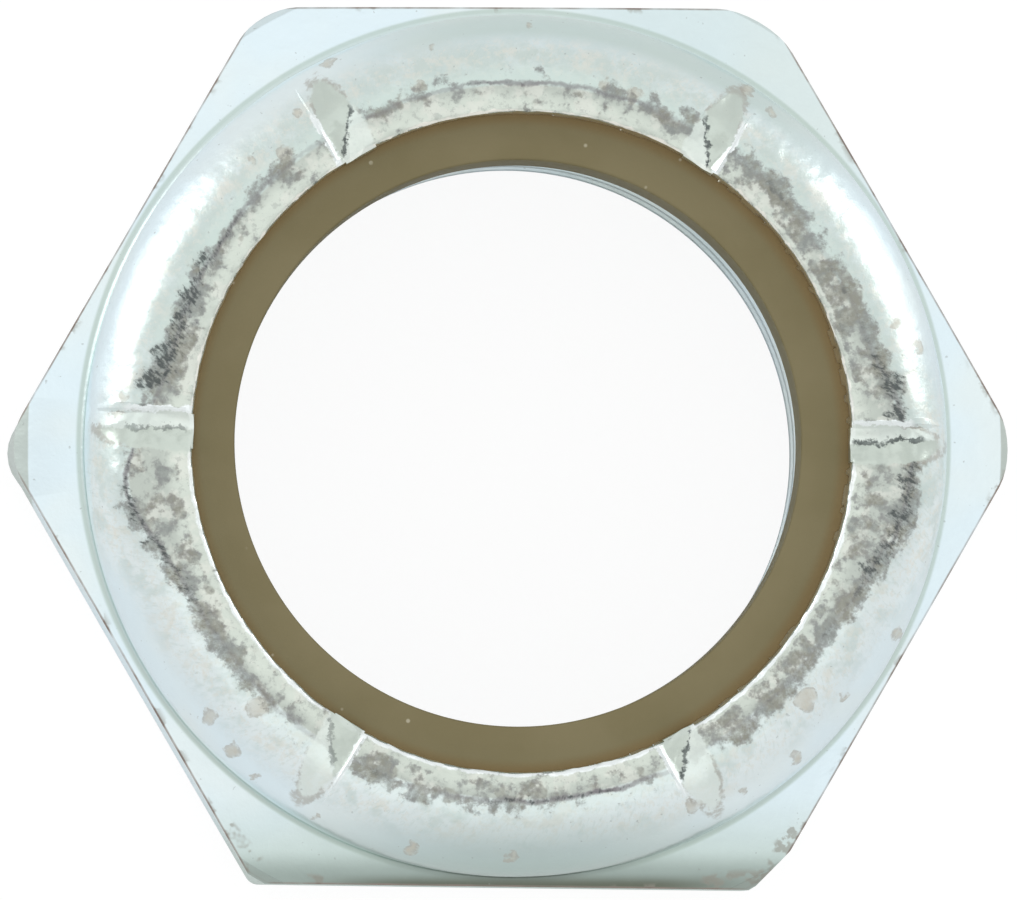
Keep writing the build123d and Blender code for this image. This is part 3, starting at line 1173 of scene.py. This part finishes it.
def lamp(name, azimuth, elevation, width, height, radiance):
    """A soft box that faces the nut: where it hangs, in degrees, its size, and how bright it looks."""
    distance = 0.4
    light = bpy.data.lights.new(name, "AREA")
    light.shape = "RECTANGLE"
    light.size = width
    light.size_y = height
    light.energy = radiance * math.pi * width * height
    holder = bpy.data.objects.new(name, light)
    bpy.context.scene.collection.objects.link(holder)
    turn = math.radians(azimuth)
    rise = math.radians(elevation)
    away = Vector((math.cos(rise) * math.cos(turn), math.cos(rise) * math.sin(turn), math.sin(rise)))
    holder.location = away * distance
    holder.rotation_euler = away.to_track_quat("Z", "Y").to_euler()


def floor_finish():
    """A pale floor that looks white to the camera, and keeps the nut's faint shadow."""
    paint, shader = start_finish("floor")
    shader.inputs["Base Color"].default_value = (0.92, 0.92, 0.92, 1)
    shader.inputs["Roughness"].default_value = 0.3
    glow = add_node(shader, "ShaderNodeEmission")
    glow.inputs["Strength"].default_value = 1.06
    path = add_node(shader, "ShaderNodeLightPath")
    share = work("MULTIPLY", path.outputs["Is Camera Ray"], 0.85)
    mixed = add_node(shader, "ShaderNodeMixShader")
    for socket, value in zip(mixed.inputs, (share, shader.outputs[0], glow.outputs[0])):
        feed(socket, value)
    feed(paint.node_tree.nodes["Material Output"].inputs["Surface"], mixed.outputs[0])
    return paint


def studio_world():
    """A soft room, brighter overhead and a little dimmer on the -Y side."""
    world = bpy.data.worlds.new("studio")
    world.use_nodes = True
    background = world.node_tree.nodes["Background"]
    _, towards_back, upwards = split(add_node(background, "ShaderNodeTexCoord").outputs["Generated"])
    overhead = fade(upwards, 0.78, 0.97)
    front = fade(towards_back, -0.5, 0.15)
    room = both(level(overhead, 0.84, 1.08), level(front, 0.94, 1.0))
    feed(background.inputs["Strength"], room)
    background.inputs["Color"].default_value = (1, 1, 1, 1)
    return world


bpy.ops.mesh.primitive_plane_add(size=2)
floor = bpy.context.object
floor.name = "floor"
floor.data.materials.append(floor_finish())

lamp("left_box", 153, 16, 0.17, 0.23, 1.7)
lamp("right_box", 28, 16, 0.14, 0.23, 1.7)
bpy.context.scene.world = studio_world()

# The camera: the point it aims at, and where it stands from there, in millimetres
AIM = Vector((-0.147, -0.067, 6.5)) * MM
STAND = Vector((-15.6, -15.6, 336.3))
camera_data = bpy.data.cameras.new("camera")
camera = bpy.data.objects.new("camera", camera_data)
bpy.context.scene.collection.objects.link(camera)
back = STAND.normalized()
right = Vector((0, 1, 0)).cross(back).normalized()
camera.matrix_world = Matrix((right, back.cross(right), back)).transposed().to_4x4()
camera.location = AIM + STAND * MM
camera_data.lens = 390.6
camera_data.clip_start = 0.01
bpy.context.scene.camera = camera
bpy.context.scene.view_settings.view_transform = "Standard"
